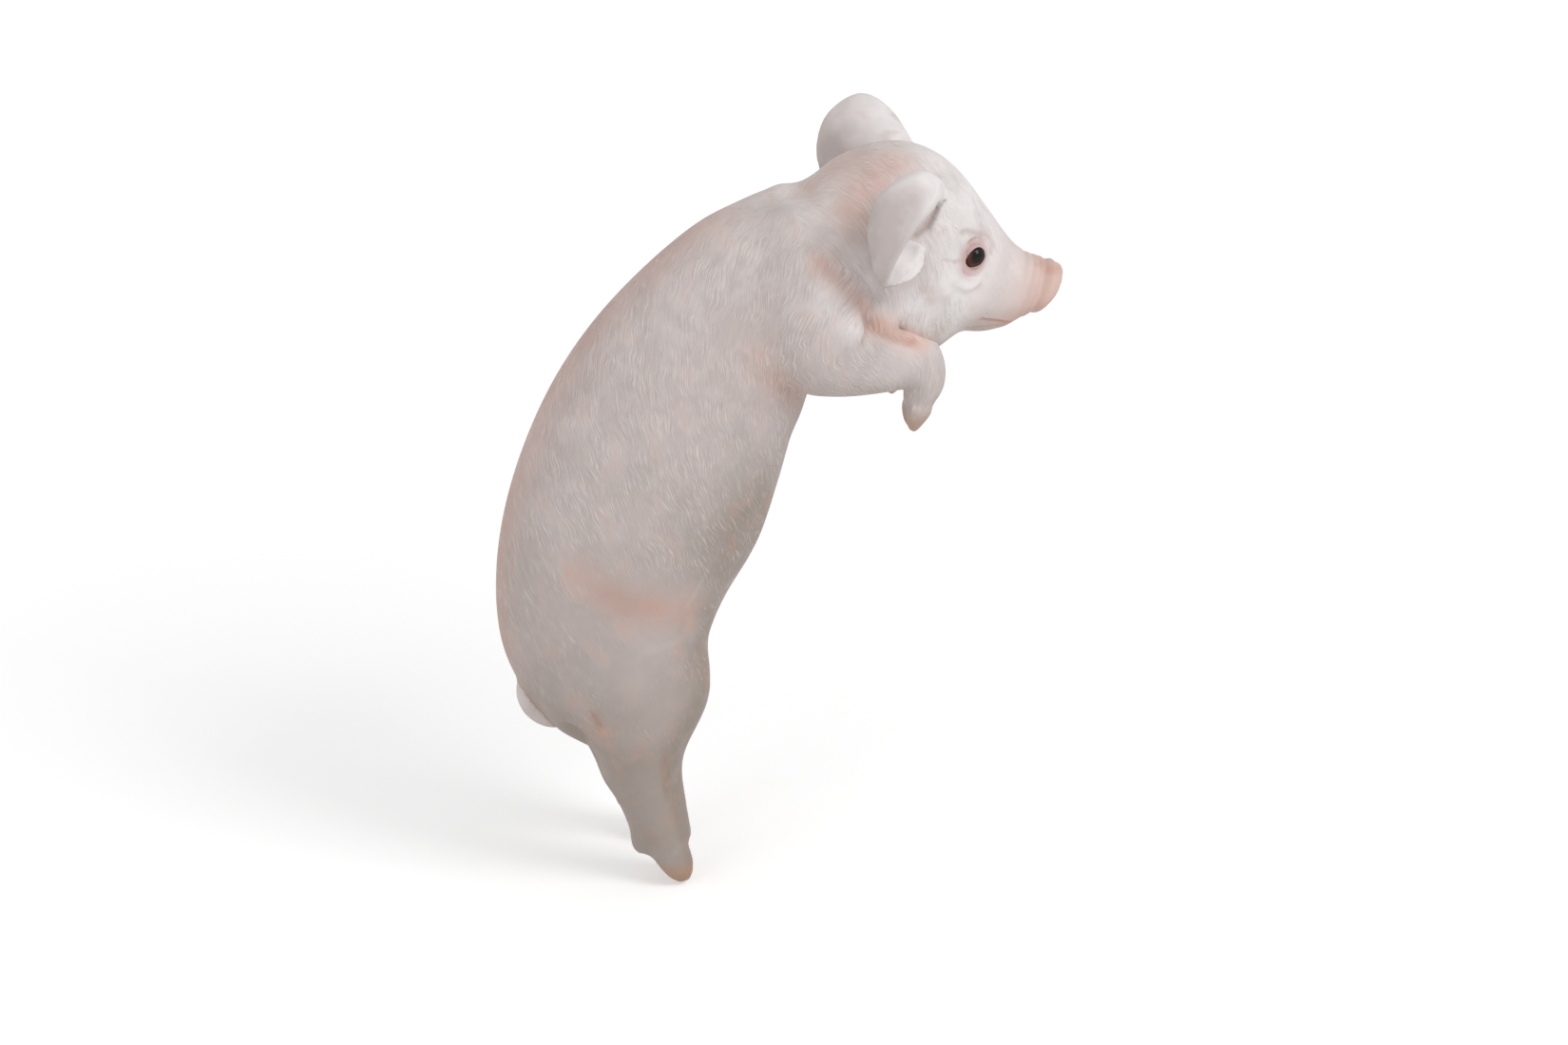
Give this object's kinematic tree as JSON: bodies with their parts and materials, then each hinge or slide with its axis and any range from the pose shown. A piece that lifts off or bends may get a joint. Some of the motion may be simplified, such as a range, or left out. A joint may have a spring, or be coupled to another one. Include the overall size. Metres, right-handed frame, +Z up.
{
  "type": "hanging pig figurine",
  "caption": "Life-size piglet figurine cast in resin with a sculpted coat, made to hang by its forelegs over the edge of a chair back, fence or planter.",
  "frame": {"origin": "middle of the edge it hangs over: midway between the forelegs, level with the flat undersides of both forearms", "axes": "+X the way the pig looks, +Y its left side, +Z up as it hangs"},
  "size_m": [0.2684, 0.1466, 0.3562],
  "materials": {
    "skin": "matt airbrushed and dry-brushed paint over cast resin",
    "eye": "polished",
    "dowel": "satin"
  },
  "bodies": {
    "root": {"trunk": "skin", "head": "skin", "ear_right": "skin", "ear_left": "skin", "foreleg_right": "skin", "foreleg_left": "skin", "hindleg_right": "skin", "hindleg_left": "skin", "tail": "skin", "eye_right": "eye", "eye_left": "eye", "limb_dowels": "dowel"}
  },
  "joints": []
}
